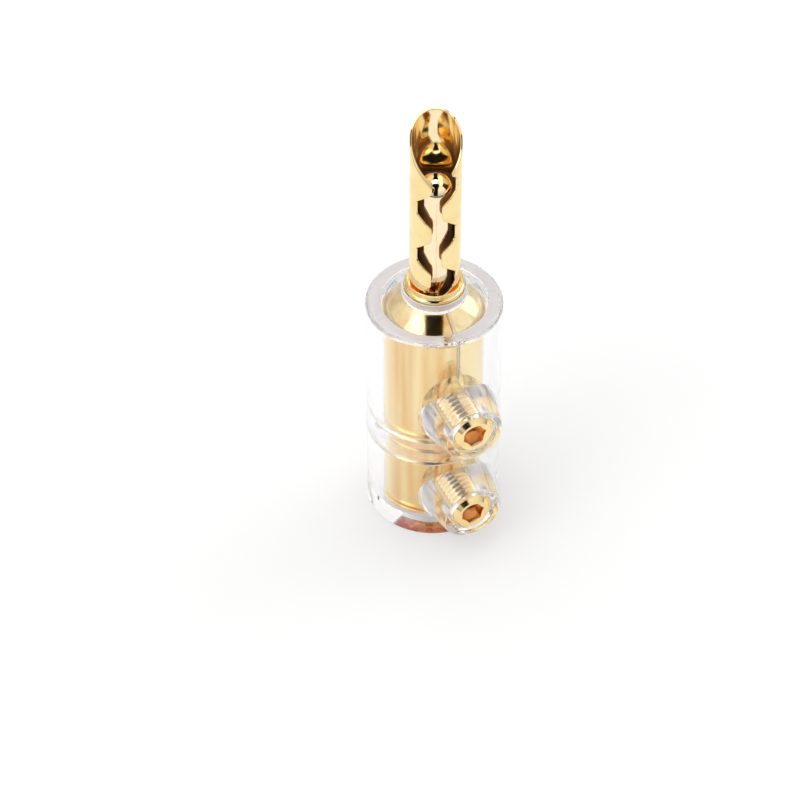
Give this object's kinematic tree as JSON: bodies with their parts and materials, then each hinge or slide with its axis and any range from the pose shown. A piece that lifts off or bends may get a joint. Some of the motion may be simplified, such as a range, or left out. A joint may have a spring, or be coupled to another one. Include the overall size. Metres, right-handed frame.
{
  "type": "banana plug",
  "caption": "Banana plug with a rolled, wave-slotted spring contact, a turned gold-plated core, a clear two-piece housing and set screws that clamp the cable.",
  "frame": {"origin": "centre of the cable opening on the rear face, on the plug axis", "axes": "+Z along the plug axis towards the tip of the contact, -Y along the screw bosses, +X to the right of the bosses"},
  "size_m": [0.0125, 0.0154, 0.0446],
  "materials": {
    "gold_plate": "polished pale gold plate on turned and rolled brass",
    "clear_shell": "clear moulded plastic, gloss"
  },
  "bodies": {
    "plug_body": {"core": "gold_plate", "contact": "gold_plate", "pin": "gold_plate", "front_sleeve": "clear_shell", "rear_sleeve": "clear_shell"},
    "front_screw": {"front_screw": "gold_plate"},
    "rear_screw": {"rear_screw": "gold_plate"}
  },
  "joints": [
    {"name": "front_screw_travel", "type": "slide", "parent": "plug_body", "child": "front_screw", "axis": [0, 1, 0], "range_m": [0, 0.005]},
    {"name": "rear_screw_travel", "type": "slide", "parent": "plug_body", "child": "rear_screw", "axis": [0, 1, 0], "range_m": [0, 0.005]}
  ]
}
